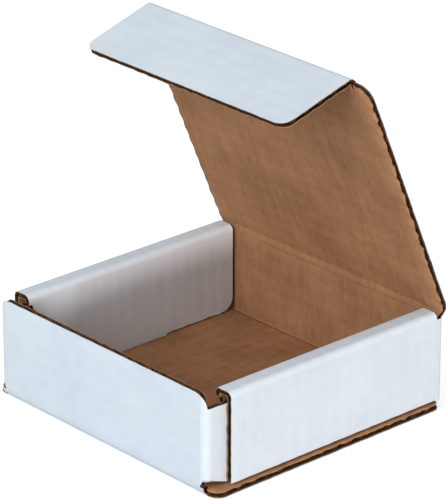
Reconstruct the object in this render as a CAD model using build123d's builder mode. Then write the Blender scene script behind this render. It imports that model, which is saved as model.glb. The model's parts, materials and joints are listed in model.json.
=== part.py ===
from build123d import *
import math
import os

# A one-piece corrugated mailer box, standing open. All sizes are in millimetres.
# The origin is at the centre of the underside: +X is to the right, -Y is the front, +Z is up.
# The sheet is one die-cut blank. It is written as three solids, split only at the two creases
# that turn when the box is opened: the tray, the lid and the lid's tuck flap.

# ---- driving sizes ----
board = 2.7                 # thickness of the single-wall board
front_width = 110.0         # outside width of the front wall, from one ear fold to the other
depth = 111.0               # outside depth, from the front wall's face to the rear wall's face
front_height = 38.2         # top of the front wall
roll_top = 37.4             # top of the two rolled side walls
closed_gap = 0.3            # air between the closed lid and the rolled side walls
layer_gap = 0.15            # air between the layers of a side wall
ledge_beyond_wall = 1.1     # how far the floor's raw side edge stands out past a side wall

floor_fold_radius = 3.2     # outside radius of the folds from the floor to the front and rear walls
floor_end_setback = 1.7     # the floor's side strips stop this far short of the front and rear faces
floor_corner_radius = 3.2   # rounded corners of those strips, seen from above
wall_corner_radius = 3.0    # outside radius of the upright folds

ear_length = 72.0           # the front wall's ears, measured back from the front face
ear_top_drop = 5.4          # the ear's top edge lies this far below the front wall's
ear_foot_front = 5.5        # the ear's lower edge at its fold, above the table
ear_end_taper = 1.8         # how much the ear's top edge falls towards its free end
ear_end_radius = 4.0

roll_setback = 9.3          # front end of the rolled side walls, behind the front face
roll_outer_radius = 3.6     # rounding of the roll's two top folds
side_foot_gap = 0.1         # air between an outer side panel's raw lower edge and the floor
inner_foot_gap = 0.6        # the same for an inner side panel, beside its tab
inner_rear_gap = 1.3        # between an inner side panel's free rear edge and the rear wall
inner_front_step = 1.3      # relief under the roll, where the inner panel's front edge stands further back
inner_front_bevel = 9.7     # how much further that edge slants back at its foot
inner_corner_radius = 5.0   # its rounded rear lower corner

tab_length = 34.0           # locking tab on the inner side panel's lower edge
tab_centre = 2.0            # its middle, along Y
tab_tip_rise = 0.3          # the tab stops this far above the underside
tab_corner_radius = 1.0
slot_clearance = 0.3        # air round the tab in the floor's slot

lid_lean = 23.1             # degrees that the open lid leans forward from upright
lid_width = 118.4
lid_reach = 101.1           # from the rear crease to the flap's crease, on the inside
lid_corner_radius = 6.0
lid_rear_corner_radius = 1.6
flap_base_width = 104.0
flap_tip_width = 103.4
flap_reach = 31.0           # from the flap's crease to its free edge, on the inside
flap_drop = 16.4            # degrees that the open flap points down from level
flap_corner_radius = 5.0
crease_gap = 0.2            # running gap at each crease

# ---- places worked out from them ----
half_front = front_width / 2
half_depth = depth / 2
ear_inner_x = half_front - board
outer_panel_in_x = half_front + layer_gap
outer_panel_out_x = outer_panel_in_x + board
inner_panel_out_x = ear_inner_x - layer_gap
inner_panel_in_x = inner_panel_out_x - board
half_ledge = outer_panel_out_x + ledge_beyond_wall
roll_front_y = -half_depth + roll_setback
inner_front_y = roll_front_y + inner_front_step
rear_inner_y = half_depth - board
inner_rear_y = rear_inner_y - inner_rear_gap
crease_height = roll_top + closed_gap
ear_top = front_height - ear_top_drop

# The rear crease is the line where the lid turns, on the inside of the board.
lean = math.radians(lid_lean)
lid_along = Vector(0, -math.sin(lean), math.cos(lean))
lid_inward = Vector(0, -math.cos(lean), -math.sin(lean))
rear_crease = Vector(0, rear_inner_y, crease_height)
lid_plane = Plane(origin=rear_crease, x_dir=(1, 0, 0), z_dir=lid_inward)

# The flap's crease is on the inside too, at the lid's far end.
drop = math.radians(flap_drop)
flap_inward = Vector(0, math.sin(drop), -math.cos(drop))
flap_crease = rear_crease + lid_along * lid_reach
flap_plane = Plane(origin=flap_crease, x_dir=(1, 0, 0), z_dir=flap_inward)


def fold_section(centre_across, centre_up, radius, start_degrees, sweep_degrees=90):
    """Draw a bent strip of board, or a full sector where the radius is the board's thickness."""
    centre = (centre_across, centre_up)
    with BuildLine() as section:
        outer = CenterArc(centre, radius, start_degrees, sweep_degrees)
        if radius > board:
            inner = CenterArc(centre, radius - board, start_degrees, sweep_degrees)
            Line(outer @ 0, inner @ 0)
            Line(outer @ 1, inner @ 1)
        else:
            Line(outer @ 0, centre)
            Line(outer @ 1, centre)
    make_face(section.edges())


with BuildPart() as tray:
    # Floor: the middle reaches the front and rear folds, the side strips stop a little short.
    with BuildSketch(Plane.XY):
        Rectangle(2 * half_ledge, depth - 2 * floor_end_setback)
        fillet(vertices(), floor_corner_radius)
        strip = floor_fold_radius - floor_end_setback
        with Locations((0, -half_depth + floor_end_setback + strip / 2)):
            Rectangle(front_width, strip, mode=Mode.SUBTRACT)
        with Locations((0, half_depth - floor_end_setback - strip / 2)):
            Rectangle(2 * outer_panel_out_x, strip, mode=Mode.SUBTRACT)
    extrude(amount=board)

    # A slot in the floor for each side wall's locking tab.
    with BuildSketch(Plane.XY):
        slot_x = (inner_panel_in_x + inner_panel_out_x) / 2
        with Locations((-slot_x, tab_centre), (slot_x, tab_centre)):
            Rectangle(board + 2 * slot_clearance, tab_length + 2 * slot_clearance)
    extrude(amount=board, mode=Mode.SUBTRACT)

    # The folds that turn the floor up into the front and rear walls.
    with BuildSketch(Plane.YZ):
        fold_section(-half_depth + floor_fold_radius, floor_fold_radius, floor_fold_radius, 180)
    extrude(amount=half_front, both=True)
    with BuildSketch(Plane.YZ):
        fold_section(half_depth - floor_fold_radius, floor_fold_radius, floor_fold_radius, 270)
    extrude(amount=outer_panel_out_x - wall_corner_radius, both=True)

    # Front wall, with rounded top corners that end where the ears begin.
    with BuildSketch(Plane.XZ.offset(half_depth - board)):
        with Locations((0, (front_height + floor_fold_radius) / 2)):
            front_panel = Rectangle(front_width, front_height - floor_fold_radius)
        fillet(front_panel.vertices().group_by(Axis.Y)[-1], ear_top_drop)
    extrude(amount=board)

    # Below the ears' top edge, each upright front corner is a rounded fold.
    fold_x = half_front - wall_corner_radius
    fold_y = -half_depth + wall_corner_radius
    with BuildSketch(Plane.XY.offset(floor_fold_radius)):
        corner_middle = half_front - wall_corner_radius / 2
        with Locations((-corner_middle, -half_depth + board / 2), (corner_middle, -half_depth + board / 2)):
            Rectangle(wall_corner_radius, board)
    extrude(amount=ear_top - floor_fold_radius, mode=Mode.SUBTRACT)
    with BuildSketch(Plane.XY.offset(ear_foot_front)):
        fold_section(fold_x, fold_y, wall_corner_radius, 270)
    corner_fold = extrude(amount=ear_top - ear_foot_front)
    mirror(corner_fold, about=Plane.YZ)

    # Ears: each goes back from a front corner, between the layers of a side wall.
    ear_plane = Plane(origin=(ear_inner_x, 0, 0), x_dir=(0, 1, 0), z_dir=(1, 0, 0))
    ear_foot = board + inner_foot_gap
    with BuildSketch(ear_plane):
        with BuildLine():
            Polyline(
                (fold_y, ear_foot_front),
                (fold_y, ear_top),
                (-half_depth + ear_length, ear_top - ear_end_taper),
                (-half_depth + ear_length, ear_foot),
                (roll_front_y, ear_foot),
                close=True,
            )
        ear_face = make_face()
        fillet(ear_face.vertices().group_by(Axis.X)[-1], ear_end_radius)
    ear = extrude(amount=board)
    mirror(ear, about=Plane.YZ)

    # Rear wall and the two outer side panels, one strip bent round the rear corners.
    wall_foot = board + side_foot_gap
    wall_top = roll_top - roll_outer_radius
    with BuildSketch(Plane.XY.offset(wall_foot)):
        strip_length = half_depth - roll_front_y
        with Locations((0, (half_depth + roll_front_y) / 2)):
            outline = Rectangle(2 * outer_panel_out_x, strip_length)
        fillet(outline.vertices().group_by(Axis.Y)[-1], wall_corner_radius)
        with Locations((0, (rear_inner_y + roll_front_y) / 2)):
            Rectangle(2 * outer_panel_in_x, strip_length - board, mode=Mode.SUBTRACT)
    extrude(amount=wall_top - wall_foot)
    with BuildSketch(Plane.XZ.offset(-half_depth)):
        with Locations((0, (crease_height + floor_fold_radius) / 2)):
            Rectangle(2 * (outer_panel_out_x - wall_corner_radius), crease_height - floor_fold_radius)
    extrude(amount=board)

    # The rounded outside of the rear crease.
    with BuildSketch(Plane.YZ):
        fold_section(rear_inner_y, crease_height, board, 0, 90 + lid_lean)
    extrude(amount=outer_panel_out_x - wall_corner_radius, both=True)

    # The top of a rolled side wall: two folds and the flat strip between them.
    with BuildSketch(Plane.XZ.offset(-inner_rear_y)):
        with BuildLine():
            Polyline(
                (outer_panel_out_x, wall_top),
                (outer_panel_out_x, roll_top),
                (inner_panel_in_x, roll_top),
                (inner_panel_in_x, wall_top),
                (inner_panel_out_x, wall_top),
                (inner_panel_out_x, roll_top - board),
                (outer_panel_in_x, roll_top - board),
                (outer_panel_in_x, wall_top),
                close=True,
            )
        roll_section = make_face()
        levels = roll_section.vertices().group_by(Axis.Y)
        fillet(levels[-1], roll_outer_radius)
        fillet(levels[-2], roll_outer_radius - board)
    roll = extrude(amount=inner_rear_y - roll_front_y)
    mirror(roll, about=Plane.YZ)

    # Inner side panel, hanging from the roll, with its locking tab down in the floor's slot.
    tab_front_y = tab_centre - tab_length / 2
    tab_rear_y = tab_centre + tab_length / 2
    inner_foot = board + inner_foot_gap
    inner_plane = Plane(origin=(inner_panel_in_x, 0, 0), x_dir=(0, 1, 0), z_dir=(1, 0, 0))
    with BuildSketch(inner_plane):
        with BuildLine():
            Polyline(
                (inner_front_y, wall_top),
                (inner_rear_y, wall_top),
                (inner_rear_y, inner_foot),
                (tab_rear_y, inner_foot),
                (tab_rear_y, tab_tip_rise),
                (tab_front_y, tab_tip_rise),
                (tab_front_y, inner_foot),
                (inner_front_y + inner_front_bevel, inner_foot),
                close=True,
            )
        inner_face = make_face()
        fillet(inner_face.vertices().group_by(Axis.Y)[0], tab_corner_radius)
        fillet(vertices().group_by(Axis.X)[-1].sort_by(Axis.Y)[0], inner_corner_radius)
    inner_panel = extrude(amount=board)
    mirror(inner_panel, about=Plane.YZ)

tray.part.label = "tray"

# ---- the lid ----
lid_start = board + crease_gap
with BuildPart() as lid:
    with BuildSketch(lid_plane):
        with Locations((0, (lid_start + lid_reach) / 2)):
            panel = Rectangle(lid_width, lid_reach - lid_start)
        rows = panel.vertices().group_by(Axis.Y)
        fillet(rows[-1], lid_corner_radius)
        fillet(rows[0], lid_rear_corner_radius)
    extrude(amount=-board)

    # The rounded outside of the flap's crease, as wide as the flap.
    crease_end_plane = Plane(origin=flap_crease, x_dir=lid_along, z_dir=(1, 0, 0))
    with BuildSketch(crease_end_plane):
        fold_section(0, 0, board, 270, 180 - lid_lean + flap_drop)
    extrude(amount=flap_base_width / 2, both=True)

lid.part.label = "lid"

# ---- the tuck flap ----
with BuildPart() as tuck_flap:
    with BuildSketch(flap_plane):
        flap_start = board + crease_gap
        with BuildLine():
            Polyline(
                (-flap_base_width / 2, flap_start),
                (flap_base_width / 2, flap_start),
                (flap_tip_width / 2, flap_reach),
                (-flap_tip_width / 2, flap_reach),
                close=True,
            )
        flap_face = make_face()
        fillet(flap_face.vertices().group_by(Axis.Y)[-1], flap_corner_radius)
    extrude(amount=-board)

tuck_flap.part.label = "tuck_flap"

os.makedirs("parts", exist_ok=True)
export_step(tray.part, "parts/tray.step")
export_step(lid.part, "parts/lid.step")
export_step(tuck_flap.part, "parts/tuck_flap.step")
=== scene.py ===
"""A small corrugated mailer box, folded from one sheet and standing open.

Every panel is a sheet of single-wall board: a white liner outside, a plain kraft liner inside and a
fluted medium between them. Lengths in the classes are in millimetres, and meshes are in metres.
"""

import json
import logging
import math
from dataclasses import dataclass, field
from enum import Enum, IntEnum
from typing import Any, Callable, Optional, Sequence, Union

import bmesh
import bpy
import numpy as np
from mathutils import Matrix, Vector


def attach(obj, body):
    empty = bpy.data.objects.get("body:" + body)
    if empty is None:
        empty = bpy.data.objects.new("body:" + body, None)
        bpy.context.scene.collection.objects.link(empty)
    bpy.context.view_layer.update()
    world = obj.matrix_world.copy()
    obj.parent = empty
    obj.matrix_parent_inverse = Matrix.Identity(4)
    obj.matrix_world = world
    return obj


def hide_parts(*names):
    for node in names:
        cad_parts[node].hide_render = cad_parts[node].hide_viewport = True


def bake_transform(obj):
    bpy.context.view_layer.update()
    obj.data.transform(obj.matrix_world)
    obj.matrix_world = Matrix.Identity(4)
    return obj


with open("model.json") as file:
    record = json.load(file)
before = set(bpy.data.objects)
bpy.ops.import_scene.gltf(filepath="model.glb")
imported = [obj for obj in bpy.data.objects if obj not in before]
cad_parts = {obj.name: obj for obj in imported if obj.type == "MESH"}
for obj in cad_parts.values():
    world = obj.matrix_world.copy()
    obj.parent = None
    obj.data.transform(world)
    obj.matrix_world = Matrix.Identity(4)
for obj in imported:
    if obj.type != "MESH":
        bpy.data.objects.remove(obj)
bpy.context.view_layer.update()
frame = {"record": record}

MM = 0.001
LOG = logging.getLogger("mailer_box")
Number = Union[int, float]


# ---------------------------------------------------------------- board stock

@dataclass(frozen=True)
class BoardStock:
    """Single-wall board and its cut edges: lengths in millimetres, and plain shares."""

    thickness: float = 2.7
    liner: float = 0.32
    medium: float = 0.2
    flute_pitch: float = 6.4
    kraft_setback: float = 0.06
    medium_setback: float = 1.1
    scallop: float = 0.22
    ragged: float = 0.16
    ragged_wave: float = 5.0
    cut_fade: float = 4.0
    crush: float = 1.45
    crush_reach: float = 1.3
    crush_base: float = 0.65
    bruise: float = 0.2
    bruise_wave: float = 9.0
    bruise_slant: float = 1.7
    white_dent: float = 0.10
    white_dent_wave: float = 14.0
    torn_swing: float = 2.4
    torn_wave: float = 7.0
    torn_reach: float = 3.0
    torn_fade: float = 4.0
    least_room: float = 0.2
    row_step: float = 1.25
    bend_step: float = 0.3
    least_step: float = 0.02
    inland: float = 1e3
    uncut: float = 9.0


STOCK = BoardStock()
EDGE_STEPS = (0.0, 0.25, 0.55, 0.95, 1.5, 2.3, 3.4, 4.8, 6.2)
EDGE_BAND = 8.0


class Flutes(Enum):
    """Which way the flutes run in a sheet."""

    ACROSS_PATH = "flutes run along the width, so that side edges show their openings"
    ALONG_PATH = "flutes run along the path, so that end edges show their openings"


class Layer(Enum):
    """The three papers of the board."""

    WHITE = "white_liner"
    KRAFT = "kraft_liner"
    MEDIUM = "fluted_medium"


class FacePart(IntEnum):
    """Material slots of one paper."""

    FACE = 0
    BACK = 1
    RIM = 2


class Seed(IntEnum):
    """Where each sheet's random numbers begin."""

    FLOOR = 100
    FLOOR_FOLD = 140
    FRONT_WALL = 200
    REAR_WALL = 260
    RIGHT_SIDE = 300
    LEFT_SIDE = 360
    LID = 420
    TUCK_FLAP = 480


@dataclass(frozen=True)
class BoardFinishes:
    """The board's materials: one for each paper, and one for the white liner's cut rim."""

    papers: dict
    rim: bpy.types.Material


def wander(along: np.ndarray, seed: int, scale: float) -> np.ndarray:
    """Smooth seeded noise between about -1 and 1: five sines of unlike wavelength, added and scaled.

    Args:
        along: positions, in millimetres.
        seed: picks the sines' phases and wavelengths.
        scale: the typical wavelength, in millimetres.

    Returns:
        One value for each position.
    """
    draw = np.random.default_rng(seed)
    waves = scale * draw.uniform(0.55, 1.7, 5)
    phases = draw.uniform(0, 2 * np.pi, 5)
    sines = np.sin(2 * np.pi * along[..., None] / waves + phases)
    return sines.sum(-1) / 2.6


def graded(low: float, high: float, coarse: float, marks: Sequence[float] = ()) -> np.ndarray:
    """Columns from low to high: fine beside both ends, then coarse, with extra columns at marks.

    Args:
        low: the first column.
        high: the last column.
        coarse: the spacing in the middle.
        marks: columns that must be present.

    Returns:
        The sorted columns.
    """
    near = np.array(EDGE_STEPS)
    middle = np.arange(low + EDGE_BAND, high - EDGE_BAND, coarse)
    every = np.concatenate([low + near, high - near, middle, np.asarray(marks, float)])
    every = np.unique(np.round(every[(every >= low) & (every <= high)], 4))
    return every[np.concatenate([[True], np.diff(every) > STOCK.least_step])]


# ---------------------------------------------------------------- paths of the folded sheet

class FoldPath:
    """The outer face of a folded strip, as lines and left-hand bends in a plane."""

    def __init__(self, start: Sequence[float], heading: float, moves: Sequence[tuple]) -> None:
        """Lay the moves end to end.

        Args:
            start: first point, in the plane's two coordinates.
            heading: first direction, in degrees.
            moves: ("line", length) or ("bend", outer radius, degrees).
        """
        point = np.array(start, float)
        angle = math.radians(heading)
        self.starts, self.points, self.angles, self.radii = [], [], [], []
        travelled = 0.0
        for move in moves:
            self.starts.append(travelled)
            self.points.append(point.copy())
            self.angles.append(angle)
            if move[0] == "line":
                self.radii.append(np.inf)
                point = point + move[1] * np.array([math.cos(angle), math.sin(angle)])
                travelled += move[1]
            else:
                radius, sweep = move[1], math.radians(move[2])
                self.radii.append(radius)
                normal = np.array([math.sin(angle), -math.cos(angle)])
                centre = point - normal * radius
                angle += sweep
                point = centre + radius * np.array([math.sin(angle), -math.cos(angle)])
                travelled += radius * sweep
        self.length = travelled

    def rows(self, step: float, extra: Sequence[float] = ()) -> np.ndarray:
        """Row positions along the path: fine at bends and free ends, and step apart elsewhere."""
        ends = self.starts[1:] + [self.length]
        parts = [graded(0.0, self.length, step), np.asarray(extra, float)]
        for start, end, radius in zip(self.starts, ends, self.radii):
            fine = STOCK.bend_step if np.isfinite(radius) else step
            parts.append(np.linspace(start, end, max(2, int((end - start) / fine) + 1)))
        every = np.unique(np.round(np.concatenate(parts), 4))
        return every[np.concatenate([[True], np.diff(every) > STOCK.least_step])]

    def sample(self, along: np.ndarray) -> tuple:
        """Points and outward normals on the outer face.

        On a line, a point is the start plus the travel along the heading. On a bend, it is the
        centre plus the radius along the turned normal.

        Args:
            along: positions along the outer face, in millimetres.

        Returns:
            Two arrays of plane coordinates: the points and the normals.
        """
        which = np.clip(np.searchsorted(self.starts, along + 1e-9, side="right") - 1, 0, None)
        base = np.array(self.points)[which]
        angle = np.array(self.angles)[which]
        radius = np.array(self.radii)[which]
        travel = (along - np.array(self.starts)[which])[..., None]
        heading = np.stack([np.cos(angle), np.sin(angle)], -1)
        first = np.stack([np.sin(angle), -np.cos(angle)], -1)
        bent = np.isfinite(radius)
        safe = np.where(bent, radius, 1.0)[..., None]
        turned = angle[..., None] + np.where(bent[..., None], travel / safe, 0.0)
        normal = np.concatenate([np.sin(turned), -np.cos(turned)], -1)
        arc = base - first * safe + normal * safe
        line = base + heading * travel
        return np.where(bent[..., None], arc, line), normal


# ---------------------------------------------------------------- one sheet of board

Limits = Callable[[np.ndarray], np.ndarray]
Cells = Callable[[np.ndarray, np.ndarray], np.ndarray]


@dataclass
class BoardSheet:
    """A strip of board: a fold path carried along a width axis, and cut to an outline."""

    name: str
    path: FoldPath
    first_axis: Sequence[float]
    second_axis: Sequence[float]
    width_axis: Sequence[float]
    low: Limits
    high: Limits
    columns: np.ndarray
    flutes: Flutes
    seed: int
    free_start: bool = True
    free_end: bool = True
    free_low: bool = True
    free_high: bool = True
    cut_from: float = -10.0
    pinch: float = 0.5
    medium_depth: float = STOCK.medium_setback
    start_gap: float = 0.0
    extra_rows: Sequence[float] = ()
    dropped: Optional[Cells] = None

    def build(self, finishes: BoardFinishes) -> list:
        """Make the three papers of this sheet.

        Args:
            finishes: the board's materials.

        Returns:
            The new objects.
        """
        rows = self.path.rows(STOCK.row_step, self.extra_rows)
        return [self._paper(layer, rows, finishes) for layer in Layer]

    def _paper(self, layer: Layer, rows: np.ndarray, finishes: BoardFinishes) -> bpy.types.Object:
        """One paper as a thin closed slab, placed by its depth under the white face.

        A point is the path's point, less the depth along the outward normal, plus the width axis
        times its column.
        """
        s = np.repeat(rows[:, None], len(self.columns), 1)
        wide = np.repeat(self.columns[None, :], len(rows), 0)
        across_ends = self.flutes is Flutes.ALONG_PATH
        travel = wide if across_ends else s
        opening = 0.5 + 0.5 * np.cos(2 * np.pi * travel / STOCK.flute_pitch)
        q, along = self._cut(layer, s, wide, opening)
        face, back = self._depths(layer, s, wide, q, opening)
        outer, normal = self._place(along, q, face)
        inner, _ = self._place(along, q, back)
        facing = -normal if layer is Layer.KRAFT else normal
        uv = np.stack([q, along] if across_ends else [along, q], -1)
        return self._mesh(layer, outer, inner, facing, self._kept(along, q), uv, finishes)

    def _cut(self, layer: Layer, s: np.ndarray, wide: np.ndarray, opening: np.ndarray) -> tuple:
        """Clip the columns to the outline and pull the free ends in, by a ragged, scalloped cut.

        Args:
            layer: the paper that is cut.
            s: rows, along the path.
            wide: columns, before they are clipped.
            opening: 1 where a flute is open at a cut edge, and 0 where it is glued.

        Returns:
            The clipped columns and the shifted rows.
        """
        setback = {Layer.WHITE: 0.0, Layer.KRAFT: STOCK.kraft_setback,
                   Layer.MEDIUM: self.medium_depth}[layer]
        rough = {Layer.WHITE: 0.25, Layer.KRAFT: 1.0, Layer.MEDIUM: 1.2}[layer] * STOCK.ragged
        seed = self.seed + 10 * list(Layer).index(layer)
        scalloped = STOCK.scallop * opening if layer is Layer.KRAFT else 0.0
        across_ends = self.flutes is Flutes.ALONG_PATH
        side = setback + (0.0 if across_ends else scalloped)
        end = setback + (scalloped if across_ends else 0.0)

        def torn(place: np.ndarray, number: int) -> np.ndarray:
            """The ragged part of one edge's cut."""
            return rough * (1 + wander(place, seed + number, STOCK.ragged_wave))

        begun = np.clip(s - self.cut_from, 0, 1)
        cut_low = begun * (side + torn(s, 0)) if self.free_low else 0.0
        cut_high = begun * (side + torn(s, 1)) if self.free_high else 0.0
        cut_start = self.start_gap + end + torn(wide, 2) if self.free_start else 0.0
        cut_end = end + torn(wide, 3) if self.free_end else 0.0
        fade_start = np.clip(1 - s / STOCK.cut_fade, 0, 1)
        fade_end = np.clip(1 - (self.path.length - s) / STOCK.cut_fade, 0, 1)
        q = np.clip(wide, self.low(s) + cut_low, self.high(s) - cut_high)
        return q, s + cut_start * fade_start - cut_end * fade_end

    def _inset(self, s: np.ndarray, q: np.ndarray) -> np.ndarray:
        """How far each point is inside the nearest cut edge."""
        uncut = STOCK.uncut * (1 - np.clip(s - self.cut_from, 0, 1))
        inland = np.full_like(q, STOCK.inland)
        return np.minimum.reduce([
            q - self.low(s) + uncut if self.free_low else inland,
            self.high(s) - q + uncut if self.free_high else inland,
            s if self.free_start else inland,
            self.path.length - s if self.free_end else inland,
        ])

    def _depths(self, layer: Layer, s: np.ndarray, wide: np.ndarray, q: np.ndarray,
                opening: np.ndarray) -> tuple:
        """Depths of a paper's face and back under the white face.

        Beside a cut edge the kraft sinks by the crush times exp(-inset / reach), most where a flute
        is open. The medium is a sine between the two liners.

        Args:
            layer: the paper.
            s: rows, along the path.
            wide: columns, before they are clipped.
            q: columns, clipped to the outline.
            opening: 1 where a flute is open, and 0 where it is glued.

        Returns:
            The depth of the seen face and that of the hidden back.
        """
        inset = np.clip(self._inset(s, q), 0, None)
        near = np.exp(-inset / STOCK.crush_reach)
        slanted = s + STOCK.bruise_slant * wide
        bruise = 1 - STOCK.bruise + STOCK.bruise * wander(slanted, self.seed + 5, STOCK.bruise_wave)
        crush = STOCK.crush_base + (1 - STOCK.crush_base) * opening
        kraft_dip = near * STOCK.crush * self.pinch * crush * bruise
        dents = 0.5 + 0.5 * wander(s + wide, self.seed + 6, STOCK.white_dent_wave)
        white_dip = near * STOCK.white_dent * np.clip(dents, 0, 1)
        white_back = STOCK.liner + white_dip
        kraft_back = STOCK.thickness - STOCK.liner - kraft_dip
        if layer is Layer.WHITE:
            return white_dip, white_back
        if layer is Layer.KRAFT:
            return STOCK.thickness - kraft_dip, kraft_back
        across_ends = self.flutes is Flutes.ALONG_PATH
        travel, other = (wide, s) if across_ends else (s, wide)
        swing = STOCK.torn_swing * wander(other, self.seed + 7, STOCK.torn_wave)
        phase = swing * np.exp(-inset / STOCK.torn_reach) * self._parallel_edge(s, q)
        wave = 0.5 + 0.5 * np.sin(2 * np.pi * travel / STOCK.flute_pitch + phase)
        room = np.clip(kraft_back - white_back - STOCK.medium, STOCK.least_room, None)
        face = white_back + room * wave
        return face, face + STOCK.medium

    def _parallel_edge(self, s: np.ndarray, q: np.ndarray) -> np.ndarray:
        """One beside an edge cut along the flutes, fading to nothing a little way inside it."""
        if self.flutes is Flutes.ALONG_PATH:
            distance = np.minimum(q - self.low(s), self.high(s) - q)
        else:
            distance = np.minimum(s, self.path.length - s)
        return np.clip(1 - distance / STOCK.torn_fade, 0, 1)

    def _kept(self, along: np.ndarray, q: np.ndarray) -> np.ndarray:
        """The cells that are part of the sheet: not cut away, and not squeezed to nothing."""
        width = np.abs(np.diff(q, axis=1))
        kept = (width[:-1] > 1e-6) | (width[1:] > 1e-6)
        if self.dropped is not None:
            middle = 0.25 * (along[:-1, :-1] + along[1:, :-1] + along[:-1, 1:] + along[1:, 1:])
            centre = 0.25 * (q[:-1, :-1] + q[1:, :-1] + q[:-1, 1:] + q[1:, 1:])
            kept &= ~self.dropped(middle, centre)
        return kept

    def _place(self, along: np.ndarray, q: np.ndarray, depth: np.ndarray) -> tuple:
        """Millimetre positions and outward normals of a grid of points."""
        point, normal = self.path.sample(along)
        axes = np.array([self.first_axis, self.second_axis], float)
        outward = normal @ axes
        which = np.searchsorted(self.path.starts, along + 1e-9, side="right") - 1
        depth = np.minimum(depth, np.array(self.path.radii)[np.clip(which, 0, None)])
        place = point @ axes - outward * depth[..., None]
        return place + q[..., None] * np.array(self.width_axis, float), outward

    def _mesh(self, layer: Layer, outer: np.ndarray, inner: np.ndarray, facing: np.ndarray,
              keep: np.ndarray, uv: np.ndarray, finishes: BoardFinishes) -> bpy.types.Object:
        """A closed slab: the face, its back, and a rim wherever a kept cell has no neighbour."""
        rows, columns = outer.shape[:2]
        index = np.arange(rows * columns).reshape(rows, columns)
        a, b, c, d = index[:-1, :-1], index[1:, :-1], index[1:, 1:], index[:-1, 1:]
        shift = rows * columns
        padded = np.pad(keep, 1)
        rims = [
            (b, a, keep & ~padded[1:-1, :-2]),
            (d, c, keep & ~padded[1:-1, 2:]),
            (a, d, keep & ~padded[:-2, 1:-1]),
            (c, b, keep & ~padded[2:, 1:-1]),
        ]
        front = np.stack([a, b, c, d], -1)[keep]
        faces = [front, front[:, ::-1] + shift]
        faces += [np.stack([p, r, r + shift, p + shift], -1)[m] for p, r, m in rims]
        faces = np.concatenate(faces)
        first = np.flatnonzero(keep.ravel())[keep.sum() // 2]
        i, j = divmod(int(first), columns - 1)
        turn = np.cross(outer[i + 1, j] - outer[i, j], outer[i, j + 1] - outer[i, j])
        if turn @ facing[i, j] < 0:
            faces = faces[:, ::-1]
        points = np.concatenate([outer.reshape(-1, 3), inner.reshape(-1, 3)]) * MM
        mesh = bpy.data.meshes.new(f"{self.name}_{layer.value}")
        mesh.from_pydata(points.tolist(), [], faces.tolist())
        mesh.materials.append(finishes.papers[layer])
        mesh.materials.append(finishes.papers[Layer.MEDIUM])
        mesh.materials.append(finishes.rim if layer is Layer.WHITE else finishes.papers[layer])
        slots = np.full(len(faces), FacePart.RIM, np.int32)
        slots[:2 * len(front)] = FacePart.BACK
        slots[:len(front)] = FacePart.FACE
        mesh.polygons.foreach_set("material_index", slots)
        mesh.polygons.foreach_set("use_smooth", slots == FacePart.FACE)
        layer_uv = mesh.uv_layers.new(name="board")
        corners = np.zeros(len(mesh.loops), np.int32)
        mesh.loops.foreach_get("vertex_index", corners)
        flat = np.concatenate([uv.reshape(-1, 2)] * 2) * MM
        layer_uv.data.foreach_set("uv", flat[corners].astype(np.float32).ravel())
        self._tidy(mesh)
        piece = bpy.data.objects.new(mesh.name, mesh)
        bpy.context.scene.collection.objects.link(piece)
        return piece

    @staticmethod
    def _tidy(mesh: bpy.types.Mesh) -> None:
        """Merge the points that clipping brought together, and drop loose ones."""
        work = bmesh.new()
        work.from_mesh(mesh)
        loose = [v for v in work.verts if not v.link_faces]
        bmesh.ops.delete(work, geom=loose, context="VERTS")
        bmesh.ops.remove_doubles(work, verts=work.verts, dist=2e-6)
        work.to_mesh(mesh)
        work.free()
        mesh.update()


# ---------------------------------------------------------------- the box's panels

X, Y, Z = (1.0, 0.0, 0.0), (0.0, 1.0, 0.0), (0.0, 0.0, 1.0)
BACK_X = (-1.0, 0.0, 0.0)
SEAM_ROW = 0.05
SLACK = 0.01


class Wall(Enum):
    """The two walls that fold up from the floor."""

    FRONT = "front"
    REAR = "rear"


class Side(Enum):
    """The two rolled side walls."""

    RIGHT = "right"
    LEFT = "left"


def level(value: Number) -> Limits:
    """An outline limit that is the same all along the sheet."""
    return lambda s: np.full_like(s, float(value))


def rounded(distance: np.ndarray, radius: float) -> np.ndarray:
    """How far a rounded corner draws an edge in: the radius less a circle's height.

    Args:
        distance: how far each point is inside the sheet's end.
        radius: the corner's radius.

    Returns:
        Nothing past the corner, rising to the radius at the end.
    """
    into = np.clip(radius - distance, 0, radius)
    return radius - np.sqrt(radius ** 2 - into ** 2)


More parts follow.
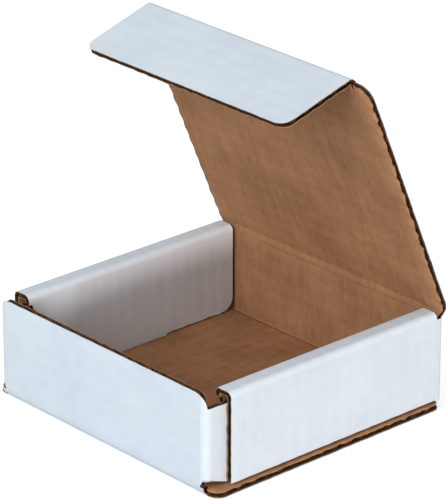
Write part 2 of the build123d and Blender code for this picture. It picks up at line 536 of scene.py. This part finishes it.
@dataclass
class Tray:
    """The floor, the four walls, the ears and the two rolled side walls."""

    half_front: float = 55.0
    half_depth: float = 55.5
    front_height: float = 38.2
    half_ledge: float = 58.95
    ledge_setback: float = 1.7
    ledge_corner: float = 4.0
    half_fold: float = 53.8
    fold_radius: float = 3.2
    upright_radius: float = 3.0
    outer_x: float = 57.85
    side_foot: float = 2.8
    foot_gap: float = 0.55
    roll_top: float = 37.4
    roll_radius: float = 2.3
    roll_width: float = 8.4
    roll_front: float = -46.2
    inner_rear: float = 51.5
    inner_foot: float = 3.3
    inner_relief: tuple = (-44.9, 33.8)
    inner_bevel: float = 9.7
    inner_corner: float = 5.0
    wrap_seam: float = 51.5
    lap: float = 0.06
    tab: tuple = (-15.0, 19.0)
    tab_tip: float = 0.3
    slot_x: tuple = (49.15, 52.45)
    slot_y: tuple = (-15.3, 19.3)
    ear_reach: float = 69.0
    ear_top: float = 32.8
    ear_taper: float = 1.8
    ear_foot: float = 5.5
    ear_end: float = 4.0
    top_corner: float = 5.4
    lid_seam: float = 34.8
    corner_lift_run: float = 1.2
    across_step: float = 4.0
    wall_step: float = 0.8
    rear_step: float = 1.3
    pieces: list = field(default_factory=list)

    @property
    def wall_top(self) -> float:
        """Where the outer side panels end and the roll begins."""
        return self.roll_top - self.roll_radius

    def build(self, finishes: BoardFinishes) -> list:
        """Build every sheet of the tray and set it on the tray's body."""
        sheets = [self.floor(), self.fold(Wall.FRONT), self.fold(Wall.REAR), self.front_wall(),
                  self.rear_wall(), self.rolled_side(Side.RIGHT), self.rolled_side(Side.LEFT)]
        for sheet in sheets:
            self.pieces += sheet.build(finishes)
        for piece in self.pieces:
            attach(piece, "tray")
        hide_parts("tray")
        return self.pieces

    def floor(self) -> BoardSheet:
        """The flat floor: a rounded rectangle with two slots, short of the walls at the folds."""
        half = self.half_depth - self.ledge_setback
        flat = self.half_depth - self.fold_radius

        def edge(s: np.ndarray) -> np.ndarray:
            """The ledge's half width, less its rounded corners."""
            return self.half_ledge - rounded(np.minimum(s, 2 * half - s), self.ledge_corner)

        def gone(s: np.ndarray, q: np.ndarray) -> np.ndarray:
            """The two slots, and the middle where the folds to the walls begin."""
            y = s - half
            in_slot = (np.abs(q) > self.slot_x[0]) & (np.abs(q) < self.slot_x[1])
            in_slot &= (y > self.slot_y[0]) & (y < self.slot_y[1])
            return in_slot | ((np.abs(y) > flat) & (np.abs(q) < self.half_fold))

        marks = [sign * x for x in (*self.slot_x, self.half_fold) for sign in (-1, 1)]
        rows = [half + y for y in (*self.slot_y, -flat, flat)]
        path = FoldPath((-half, 0.0), 0, [("line", 2 * half)])
        return BoardSheet("floor", path, Y, Z, X, lambda s: -edge(s), edge,
                          graded(-self.half_ledge, self.half_ledge, self.across_step, marks),
                          Flutes.ACROSS_PATH, Seed.FLOOR, free_start=False, free_end=False,
                          extra_rows=rows, pinch=0.8, dropped=gone)

    def fold(self, wall: Wall) -> BoardSheet:
        """The rounded fold from the floor up into the front or the rear wall."""
        run = self.half_depth - self.fold_radius
        bend = [("bend", self.fold_radius, 90)]
        if wall is Wall.FRONT:
            path = FoldPath((-self.half_depth, self.fold_radius), -90, bend)
            half = self.half_fold
        else:
            path = FoldPath((run, 0.0), 0, bend)
            half = self.outer_x - self.upright_radius
        return BoardSheet(f"{wall.value}_floor_fold", path, Y, Z, X, level(-half), level(half),
                          graded(-half, half, self.across_step), Flutes.ALONG_PATH,
                          Seed.FLOOR_FOLD, free_start=False, free_end=False, free_low=False, free_high=False)

    def front_wall(self) -> BoardSheet:
        """The front wall and its two ears, one strip bent round the upright corners."""
        bend = self.upright_radius * math.pi / 2
        flat = self.half_front - self.upright_radius
        end = flat + bend + self.ear_reach
        ear_y = self.half_depth - self.upright_radius

        def top(s: np.ndarray) -> np.ndarray:
            """Level on the wall, a quarter circle down to the ear, then a slight fall."""
            c = np.abs(s - end)
            start = self.half_front - self.top_corner
            drop = np.clip(c - start, 0, self.top_corner)
            wall = self.ear_top + np.sqrt(self.top_corner ** 2 - drop ** 2)
            fall = self.ear_taper * np.clip((c - flat - bend) / self.ear_reach, 0, 1)
            return np.where(c < self.half_front, wall, self.ear_top - fall) \
                - rounded(end - c, self.ear_end)

        def foot(s: np.ndarray) -> np.ndarray:
            """At the fold on the wall, higher at the corner, then falling to just off the floor."""
            c = np.abs(s - end)
            rise = np.clip((c - flat) / self.corner_lift_run, 0, 1) * (self.ear_foot - self.fold_radius)
            run = ear_y + self.roll_front
            fall = np.clip((c - flat - bend) / run, 0, 1) * (self.ear_foot - self.inner_foot)
            return self.fold_radius + rise - fall + rounded(end - c, self.ear_end)

        path = FoldPath((-self.half_front, -ear_y + self.ear_reach), -90, [
            ("line", self.ear_reach), ("bend", self.upright_radius, 90), ("line", 2 * flat),
            ("bend", self.upright_radius, 90), ("line", self.ear_reach)])
        corner = np.linspace(self.half_front - self.top_corner - 0.2, self.half_front + 0.2, 22)
        rows = np.concatenate([end - corner, end + corner])
        columns = graded(self.inner_foot - 0.1, self.front_height, self.wall_step, [self.fold_radius])
        return BoardSheet("front_wall", path, X, Y, Z, foot, top, columns,
                          Flutes.ALONG_PATH, Seed.FRONT_WALL, free_low=False, extra_rows=rows, pinch=0.2,
                          medium_depth=0.25)

    def rear_wall(self) -> BoardSheet:
        """The rear wall, bent round both rear corners to meet the outer side panels."""
        corner_y = self.half_depth - self.upright_radius
        side = corner_y - self.wrap_seam
        half = self.outer_x - self.upright_radius
        bend = self.upright_radius * math.pi / 2
        end = side + bend + half
        path = FoldPath((self.outer_x, self.wrap_seam), 90, [
            ("line", side), ("bend", self.upright_radius, 90), ("line", 2 * half),
            ("bend", self.upright_radius, 90), ("line", side)])
        inside = half + 2 * SLACK
        return BoardSheet(
            "rear_wall", path, X, Y, Z,
            lambda s: np.where(np.abs(s - end) < inside, self.fold_radius, self.side_foot),
            lambda s: np.where(np.abs(s - end) < inside, self.lid_seam + self.lap, self.wall_top),
            graded(self.side_foot, self.lid_seam + self.lap, self.rear_step,
                   [self.fold_radius, self.wall_top]),
            Flutes.ALONG_PATH, Seed.REAR_WALL, free_start=False, free_end=False, free_low=False,
            free_high=False, extra_rows=[end - half - SEAM_ROW, end + half + SEAM_ROW])

    def rolled_side(self, side: Side) -> BoardSheet:
        """A side wall: up the outer panel, over the roll, down the inner panel to its tab."""
        outward, seed = (X, Seed.RIGHT_SIDE) if side is Side.RIGHT else (BACK_X, Seed.LEFT_SIDE)
        rise = self.wall_top - self.side_foot
        bend = self.roll_radius * math.pi / 2
        flat = self.roll_width - 2 * self.roll_radius
        down = self.wall_top - self.inner_foot
        inner_start = rise + 2 * bend + flat
        foot_at = inner_start + down
        tip = self.inner_foot - self.tab_tip
        relief = inner_start + self.wall_top - self.inner_relief[1]

        def front(s: np.ndarray) -> np.ndarray:
            """Straight on the outer panel and roll, then a step back and a slant down to the foot."""
            relief_y, relief_z = self.inner_relief
            z = self.wall_top - (s - inner_start)
            fall = np.clip((relief_z - z) / (relief_z - self.inner_foot), 0, 1)
            slant = np.where(z < relief_z, relief_y + self.inner_bevel * fall, self.roll_front)
            return np.where(s > foot_at + SLACK, self.tab[0], slant)

        def rear(s: np.ndarray) -> np.ndarray:
            """The seam on the outer panel, the free edge on the roll, a rounded lower corner."""
            free = self.inner_rear - rounded(foot_at - s, self.inner_corner)
            free = np.where(s > foot_at + SLACK, self.tab[1], free)
            return np.where(s <= rise + SLACK, self.wrap_seam + self.lap, free)

        path = FoldPath((self.outer_x, self.side_foot), 90, [
            ("line", rise), ("bend", self.roll_radius, 90), ("line", flat),
            ("bend", self.roll_radius, 90), ("line", down + tip)])
        columns = graded(self.roll_front, self.wrap_seam + self.lap, self.wall_step,
                         [self.inner_rear, *self.tab])
        return BoardSheet(f"{side.value}_side_wall", path, outward, Z, Y, front, rear, columns,
                          Flutes.ALONG_PATH, seed, free_high=False, start_gap=self.foot_gap,
                          extra_rows=[rise + SEAM_ROW, foot_at, foot_at + SEAM_ROW, relief,
                                      relief + SEAM_ROW])


@dataclass
class Lid:
    """The lid and its tuck flap, hinged on the rear wall's top."""

    lean: float = 23.1
    half_width: float = 59.2
    reach: float = 101.1
    front_corner: float = 6.0
    shoulder: float = 2.6
    shoulder_run: float = 7.0
    plate_start: float = 2.9
    half_wall: float = 54.85
    wall_below: float = 2.9
    flap_seam: float = 97.0
    half_flap: float = 52.0
    half_flap_tip: float = 51.7
    flap_reach: float = 31.0
    flap_corner: float = 5.0
    drop: float = 16.4
    lid_corner_rows: tuple = (0.1, 0.3, 0.6, 1.0, 1.6, 2.4, 3.4, 4.6, 5.8)
    flap_corner_rows: tuple = (0.1, 0.3, 0.6, 1.0, 1.6, 2.4, 3.4, 4.4)
    crease_step: float = 0.3
    past_crease: float = 3.2
    lid_step: float = 4.0
    flap_step: float = 3.0

    def build(self, finishes: BoardFinishes) -> list:
        """Build the lid and the flap, and bend each across its crease."""
        creases = {j["name"]: np.array(j["pos_m"]) / MM
                   for j in frame["record"]["behaviour"]["joints"]}
        rear, front = creases["lid_fold"], creases["flap_fold"]
        lid = self.lid_sheet(rear).build(finishes)
        flap = self.flap_sheet(rear).build(finishes)
        for piece in lid:
            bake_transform(piece)
        for piece in flap:
            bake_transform(piece)
        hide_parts("lid")
        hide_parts("tuck_flap")
        return lid + flap

    def lid_sheet(self, crease: np.ndarray) -> BoardSheet:
        """From the top of the rear wall, over the crease and up the lid, round the flap's seat."""
        bend = STOCK.thickness * math.radians(self.lean)
        origin = self.wall_below + bend

        def half(s: np.ndarray) -> np.ndarray:
            """A rounded shoulder beside the crease, the lid's full width, then rounded corners."""
            swell = np.sin(np.pi / 2 * np.clip(s / self.shoulder_run, 0, 1))
            shoulder = self.half_width - self.shoulder * (1 - swell)
            return shoulder - rounded(self.reach - (s - origin), self.front_corner)

        path = FoldPath((crease[1] + STOCK.thickness, crease[2] - self.wall_below), 90, [
            ("line", self.wall_below), ("bend", STOCK.thickness, self.lean),
            ("line", self.reach)])
        rows = [origin + self.flap_seam]
        rows += list(origin + self.reach - np.array(self.lid_corner_rows))
        rows += list(np.arange(self.crease_step, self.shoulder_run, self.crease_step))
        return BoardSheet(
            "lid", path, Y, Z, X, lambda s: -half(s), half,
            graded(-self.half_width, self.half_width, self.lid_step,
                   [-self.half_wall, -self.half_flap, self.half_flap, self.half_wall]),
            Flutes.ACROSS_PATH, Seed.LID, free_start=False, extra_rows=rows, pinch=1.0,
            dropped=lambda s, q: (s > origin + self.flap_seam) & (np.abs(q) < self.half_flap))

    def flap_sheet(self, crease: np.ndarray) -> BoardSheet:
        """The lid's last few millimetres, the front crease and the tuck flap."""
        lean = math.radians(self.lean)
        outward = np.array([math.cos(lean), math.sin(lean)])
        along = np.array([-math.sin(lean), math.cos(lean)])
        start = np.array(crease[1:]) + along * self.flap_seam + outward * STOCK.thickness
        first = self.reach - self.flap_seam
        turn = 90 - self.lean + self.drop
        bend = STOCK.thickness * math.radians(turn)
        origin = first + bend

        def half(s: np.ndarray) -> np.ndarray:
            """The flap's half width: a slight taper and two rounded corners at its free edge."""
            t = np.clip((s - origin) / self.flap_reach, 0, 1)
            taper = (self.half_flap - self.half_flap_tip) * t
            return self.half_flap - taper - rounded(origin + self.flap_reach - s, self.flap_corner)

        path = FoldPath(start, 90 + self.lean, [
            ("line", first), ("bend", STOCK.thickness, turn), ("line", self.flap_reach)])
        tip = origin + self.flap_reach - np.array(self.flap_corner_rows)
        bent = np.arange(self.crease_step, origin + self.past_crease, self.crease_step)
        rows = list(tip) + list(bent)
        return BoardSheet("tuck_flap", path, Y, Z, X, lambda s: -half(s), half,
                          graded(-self.half_flap, self.half_flap, self.flap_step),
                          Flutes.ACROSS_PATH, Seed.TUCK_FLAP, free_start=False, cut_from=first,
                          extra_rows=rows)


# ---------------------------------------------------------------- shader expressions

class Dresser:
    """Builds one node tree, of a material or of the world, from Python expressions."""

    def __init__(self, owner: Union[bpy.types.Material, bpy.types.World]) -> None:
        """Empty the owner's node tree."""
        owner.use_nodes = True
        self.owner = owner
        self.tree = owner.node_tree
        self.tree.nodes.clear()

    @classmethod
    def material(cls, name: str) -> "Dresser":
        """Start an empty material."""
        return cls(bpy.data.materials.new(name))

    def node(self, kind: str, settings: Optional[dict] = None, **sockets: Any) -> bpy.types.Node:
        """Add a node.

        Args:
            kind: the node's type name.
            settings: properties that are set first; "stops" fills a colour ramp.
            sockets: values or links, by socket name with _ for a space, or in_0 by number.

        Returns:
            The new node.
        """
        made = self.tree.nodes.new(kind)
        for key, value in (settings or {}).items():
            if key == "stops":
                ramp = made.color_ramp
                while len(ramp.elements) < len(value):
                    ramp.elements.new(0.5)
                for element, (place, colour) in zip(ramp.elements, value):
                    element.position = place
                    element.color = (*colour, 1.0)
            else:
                setattr(made, key, value)
        for key, value in sockets.items():
            target = made.inputs[int(key[3:])] if key.startswith("in_") \
                else made.inputs[key.replace("_", " ")]
            if isinstance(value, Varying):
                value = value.socket
            if isinstance(value, bpy.types.NodeSocket):
                self.tree.links.new(value, target)
            else:
                target.default_value = value
        return made

    def board(self) -> bpy.types.NodeSocket:
        """Place on the flat sheet, in metres: across the flutes, then along them."""
        return self.node("ShaderNodeUVMap", {"uv_map": "board"}).outputs["UV"]

    def place(self) -> bpy.types.NodeSocket:
        """Place on the object, in metres."""
        return self.node("ShaderNodeTexCoord").outputs["Object"]

    def stretched(self, source: bpy.types.NodeSocket, scale: Sequence[float]) -> bpy.types.NodeSocket:
        """The same place with each coordinate scaled."""
        return self.node("ShaderNodeMapping", None, Vector=source, Scale=scale).outputs["Vector"]

    def noise(self, source: bpy.types.NodeSocket, scale: float, detail: float = 3.0,
              roughness: float = 0.55) -> "Varying":
        """Cloudy noise from 0 to 1, with scale in repeats a metre."""
        made = self.node("ShaderNodeTexNoise", None, Vector=source, Scale=scale, Detail=detail,
                         Roughness=roughness)
        return Varying(self, made.outputs["Fac"])

    def ramp(self, value: "Varying", low: float, high: float) -> "Varying":
        """0 below low, 1 above high, and even between them."""
        made = self.node("ShaderNodeMapRange", None, Value=value, From_Min=low, From_Max=high)
        return Varying(self, made.outputs["Result"])

    def tint(self, amount: "Varying", first: Any, second: Any) -> bpy.types.NodeSocket:
        """A colour between two others, each given or already mixed."""
        def full(colour: Any) -> Any:
            """Add alpha to a plain colour."""
            return (*colour, 1.0) if isinstance(colour, tuple) else colour
        made = self.node("ShaderNodeMix", {"data_type": "RGBA"}, in_0=amount, in_6=full(first),
                         in_7=full(second))
        return made.outputs[2]

    def bump(self, height: "Varying", distance: float, strength: float = 1.0) -> bpy.types.NodeSocket:
        """A normal from a height from 0 to 1, with its full depth in metres."""
        return self.node("ShaderNodeBump", None, Height=height, Distance=distance,
                         Strength=strength).outputs["Normal"]

    def finish(self, shader: bpy.types.NodeSocket) -> bpy.types.Material:
        """Send a shader to the surface, and return the material."""
        self.node("ShaderNodeOutputMaterial", None, Surface=shader)
        return self.owner


class Varying:
    """A number that changes over a surface, with the usual arithmetic."""

    def __init__(self, dresser: Dresser, socket: bpy.types.NodeSocket) -> None:
        """Wrap a socket."""
        self.dresser = dresser
        self.socket = socket

    def _with(self, operation: str, first: Any, second: Any) -> "Varying":
        """One Math node."""
        made = self.dresser.node("ShaderNodeMath", {"operation": operation}, in_0=first, in_1=second)
        return Varying(self.dresser, made.outputs[0])

    def __add__(self, other: Any) -> "Varying":
        """Sum."""
        return self._with("ADD", self, other)

    __radd__ = __add__

    def __mul__(self, other: Any) -> "Varying":
        """Product."""
        return self._with("MULTIPLY", self, other)

    __rmul__ = __mul__

    def __sub__(self, other: Any) -> "Varying":
        """Difference."""
        return self._with("SUBTRACT", self, other)

    def __rsub__(self, other: Any) -> "Varying":
        """Difference, the other way round."""
        return self._with("SUBTRACT", other, self)

    def larger(self, other: Any) -> "Varying":
        """The larger of the two."""
        return self._with("MAXIMUM", self, other)

    def sine(self) -> "Varying":
        """Sine of the value."""
        return self._with("SINE", self, 0.0)


# ---------------------------------------------------------------- finishes

@dataclass(frozen=True)
class WhiteLinerFinish:
    """Bleached white paper: faintly blue, slightly mottled, with the flutes just showing."""

    light: tuple = (0.735, 0.800, 0.860)
    dull: tuple = (0.665, 0.735, 0.800)
    scuff: tuple = (0.60, 0.62, 0.64)
    roughness: float = 0.62

    def material(self) -> bpy.types.Material:
        """Mottled white paper with washboarding, fine fibres and a few scuffs."""
        d = Dresser.material("white_liner")
        place, board = d.place(), d.board()
        cloud = d.noise(place, 38.0, 3.0)
        mottle = d.noise(place, 210.0, 4.0, 0.6)
        fibre = d.noise(d.stretched(board, (900.0, 260.0, 1.0)), 1.0, 4.0, 0.65)
        across = Varying(d, d.node("ShaderNodeSeparateXYZ", None, Vector=board).outputs["X"])
        wash = (across * (2 * math.pi / (STOCK.flute_pitch * MM))).sine() * 0.5 + 0.5
        scuffs = d.ramp(d.noise(d.stretched(place, (1.0, 1.0, 2.2)), 95.0, 6.0, 0.72), 0.66, 0.80)
        worn = d.ramp(cloud * 0.6 + mottle * 0.4, 0.36, 0.64)
        colour = d.tint(worn, self.dull, self.light)
        colour = d.tint(scuffs * 0.35, colour, self.scuff)
        height = wash * 0.22 + fibre * 0.28 + cloud * 0.5
        shader = d.node("ShaderNodeBsdfPrincipled", None, Base_Color=colour,
                        Roughness=self.roughness + mottle * 0.16,
                        Normal=d.bump(height, 0.00022), Specular_IOR_Level=0.25)
        return d.finish(shader.outputs["BSDF"])


@dataclass(frozen=True)
class KraftLinerFinish:
    """Plain brown kraft paper with streaks, darker specks and pale fibres."""

    light: tuple = (0.452, 0.232, 0.114)
    dark: tuple = (0.300, 0.146, 0.069)
    speck: tuple = (0.130, 0.062, 0.028)
    fibre: tuple = (0.560, 0.345, 0.185)
    roughness: float = 0.78

    def material(self) -> bpy.types.Material:
        """Brown paper: clouds and streaks for colour, specks and fibres over them."""
        d = Dresser.material("kraft_liner")
        place, board = d.place(), d.board()
        cloud = d.noise(place, 55.0, 5.0, 0.62)
        streak = d.noise(d.stretched(board, (30.0, 330.0, 1.0)), 1.0, 4.0, 0.6)
        grain = d.noise(place, 620.0, 4.0, 0.7)
        specks = d.ramp(d.noise(place, 900.0, 2.0, 0.5), 0.66, 0.74)
        hairs = d.ramp(d.noise(d.stretched(board, (260.0, 1500.0, 1.0)), 1.0, 3.0, 0.6), 0.64, 0.74)
        across = Varying(d, d.node("ShaderNodeSeparateXYZ", None, Vector=board).outputs["X"])
        wash = (across * (2 * math.pi / (STOCK.flute_pitch * MM))).sine() * 0.5 + 0.5
        strokes = d.ramp(d.noise(d.stretched(board, (95.0, 430.0, 1.0)), 1.0, 4.0, 0.62), 0.57, 0.70)
        tone = d.ramp(cloud * 0.5 + streak * 0.3 + grain * 0.2 + wash * 0.03, 0.38, 0.64)
        colour = d.tint(tone, self.dark, self.light)
        colour = d.tint(strokes * 0.30, colour, self.speck)
        colour = d.tint(specks * 0.45, colour, self.speck)
        colour = d.tint(hairs * 0.35, colour, self.fibre)
        height = wash * 0.12 + grain * 0.5 + streak * 0.38
        shader = d.node("ShaderNodeBsdfPrincipled", None, Base_Color=colour,
                        Roughness=self.roughness + grain * 0.14,
                        Normal=d.bump(height, 0.00030), Specular_IOR_Level=0.2)
        return d.finish(shader.outputs["BSDF"])


@dataclass(frozen=True)
class MediumFinish:
    """Rough unbleached fluting and the cut edges of the papers."""

    light: tuple = (0.210, 0.110, 0.054)
    dark: tuple = (0.052, 0.026, 0.013)
    roughness: float = 0.9

    def material(self) -> bpy.types.Material:
        """Dark rough kraft with torn fibres."""
        d = Dresser.material("fluted_medium")
        place = d.place()
        torn = d.noise(place, 520.0, 5.0, 0.7)
        grain = d.noise(place, 1700.0, 3.0, 0.6)
        colour = d.tint(d.ramp(torn * 0.7 + grain * 0.3, 0.36, 0.66), self.dark, self.light)
        shader = d.node("ShaderNodeBsdfPrincipled", None, Base_Color=colour,
                        Roughness=self.roughness - grain * 0.08,
                        Normal=d.bump(torn, 0.0003), Specular_IOR_Level=0.1)
        return d.finish(shader.outputs["BSDF"])


@dataclass(frozen=True)
class RimFinish:
    """The cut rim of the white liner: pale, with brown fibres."""

    pale: tuple = (0.400, 0.350, 0.300)
    brown: tuple = (0.150, 0.085, 0.045)
    roughness: float = 0.85

    def material(self) -> bpy.types.Material:
        """Pale torn paper, browner in patches."""
        d = Dresser.material("cut_rim")
        torn = d.noise(d.place(), 330.0, 5.0, 0.7)
        colour = d.tint(d.ramp(torn, 0.38, 0.62), self.brown, self.pale)
        shader = d.node("ShaderNodeBsdfPrincipled", None, Base_Color=colour,
                        Roughness=self.roughness + torn * 0.1,
                        Normal=d.bump(torn, 0.0002), Specular_IOR_Level=0.1)
        return d.finish(shader.outputs["BSDF"])


@dataclass(frozen=True)
class StudioFloorFinish:
    """A pale floor that reads as white in the open and keeps the object's shadow."""

    bounce: tuple = (0.45, 0.465, 0.49, 1.0)
    seen: tuple = (0.93, 0.93, 0.93, 1.0)
    lift: float = 0.45

    def material(self) -> bpy.types.Material:
        """Diffuse paper, brighter to direct and mirrored sight than to bounced light."""
        d = Dresser.material("studio_floor")
        path = d.node("ShaderNodeLightPath")
        camera, glossy, through = (Varying(d, path.outputs[f"Is {kind} Ray"])
                                   for kind in ("Camera", "Glossy", "Transmission"))
        sight = camera.larger(glossy).larger(through)
        dull = d.node("ShaderNodeBsdfDiffuse", None, Color=self.bounce)
        bright = d.node("ShaderNodeBsdfDiffuse", None, Color=self.seen)
        glow = d.node("ShaderNodeEmission", None, Color=(1.0, 1.0, 1.0, 1.0), Strength=self.lift)
        both = d.node("ShaderNodeAddShader", None, in_0=bright.outputs[0], in_1=glow.outputs[0])
        mixed = d.node("ShaderNodeMixShader", None, in_0=sight, in_1=dull.outputs[0],
                       in_2=both.outputs[0])
        return d.finish(mixed.outputs[0])


# ---------------------------------------------------------------- studio

@dataclass(frozen=True)
class SoftLamp:
    """A round area lamp: its place and size in metres, its power in watts, its colour."""

    name: str
    place: tuple
    size: float
    energy: float
    colour: tuple

    def build(self, target: Vector) -> None:
        """Add the lamp, aimed at the target."""
        data = bpy.data.lights.new(self.name, "AREA")
        data.shape = "DISK"
        data.size = self.size
        data.energy = self.energy
        data.color = self.colour
        lamp = bpy.data.objects.new(self.name, data)
        lamp.location = self.place
        lamp.rotation_euler = (target - Vector(self.place)).to_track_quat("-Z", "Y").to_euler()
        bpy.context.scene.collection.objects.link(lamp)


@dataclass
class Studio:
    """The floor, the light and the camera."""

    target: tuple = (1.02, 1.14, 58.01)
    azimuth: float = 48.0
    elevation: float = 23.34
    distance: float = 1298.72
    lens: float = 265.65
    world_strength: float = 0.60
    world_colour: tuple = (0.97, 0.985, 1.0, 1.0)
    white: tuple = (1.0, 1.0, 1.0, 1.0)
    lamps: tuple = (SoftLamp("front", (0.20, -1.5, 0.85), 1.0, 14.5, (0.93, 0.975, 1.0)),
                    SoftLamp("side", (1.8, -0.35, 0.13), 0.30, 17.5, (1.0, 0.91, 0.875)))
    floor_side: float = 6.0
    floor_under: float = -0.0002
    sensor_width: float = 36.0
    clip: tuple = (0.05, 20.0)

    def build(self) -> None:
        """Set up the floor, the world, the lamps, the camera and the plain view transform."""
        self.floor()
        self.world()
        for lamp in self.lamps:
            lamp.build(Vector(self.target) * MM)
        self.camera()
        bpy.context.scene.view_settings.view_transform = "Standard"

    def floor(self) -> None:
        """A wide pale plane just under the box."""
        mesh = bpy.data.meshes.new("studio_floor")
        side, under = self.floor_side, self.floor_under
        mesh.from_pydata([(-side, -side, under), (side, -side, under), (side, side, under),
                          (-side, side, under)], [], [(0, 1, 2, 3)])
        mesh.materials.append(StudioFloorFinish().material())
        plane = bpy.data.objects.new("studio_floor", mesh)
        bpy.context.scene.collection.objects.link(plane)

    def world(self) -> None:
        """Even light from all round, seen as white."""
        d = Dresser(bpy.data.worlds.new("studio"))
        bpy.context.scene.world = d.owner
        path = d.node("ShaderNodeLightPath")
        light = d.node("ShaderNodeBackground", None, Color=self.world_colour,
                       Strength=self.world_strength)
        white = d.node("ShaderNodeBackground", None, Color=self.white)
        mixed = d.node("ShaderNodeMixShader", None, in_0=path.outputs["Is Camera Ray"],
                       in_1=light.outputs[0], in_2=white.outputs[0])
        d.node("ShaderNodeOutputWorld", None, Surface=mixed.outputs[0])

    def camera(self) -> None:
        """A long lens from the front right, a little above."""
        az, el = math.radians(self.azimuth), math.radians(self.elevation)
        away = Vector((math.sin(az) * math.cos(el), -math.cos(az) * math.cos(el), math.sin(el)))
        data = bpy.data.cameras.new("camera")
        data.lens = self.lens
        data.sensor_width = self.sensor_width
        data.clip_start, data.clip_end = self.clip
        camera = bpy.data.objects.new("camera", data)
        camera.location = (Vector(self.target) + away * self.distance) * MM
        camera.rotation_euler = (-away).to_track_quat("-Z", "Y").to_euler()
        bpy.context.scene.collection.objects.link(camera)
        bpy.context.scene.camera = camera


def main() -> None:
    """Build the box and the studio."""
    logging.basicConfig(level=logging.INFO, format="%(name)s: %(message)s")
    papers = {Layer.WHITE: WhiteLinerFinish().material(),
              Layer.KRAFT: KraftLinerFinish().material(),
              Layer.MEDIUM: MediumFinish().material()}
    finishes = BoardFinishes(papers, RimFinish().material())
    for maker in (Tray(), Lid()):
        for piece in maker.build(finishes):
            LOG.info("%s: %d faces", piece.name, len(piece.data.polygons))
    Studio().build()


if __name__ == "__main__":
    main()
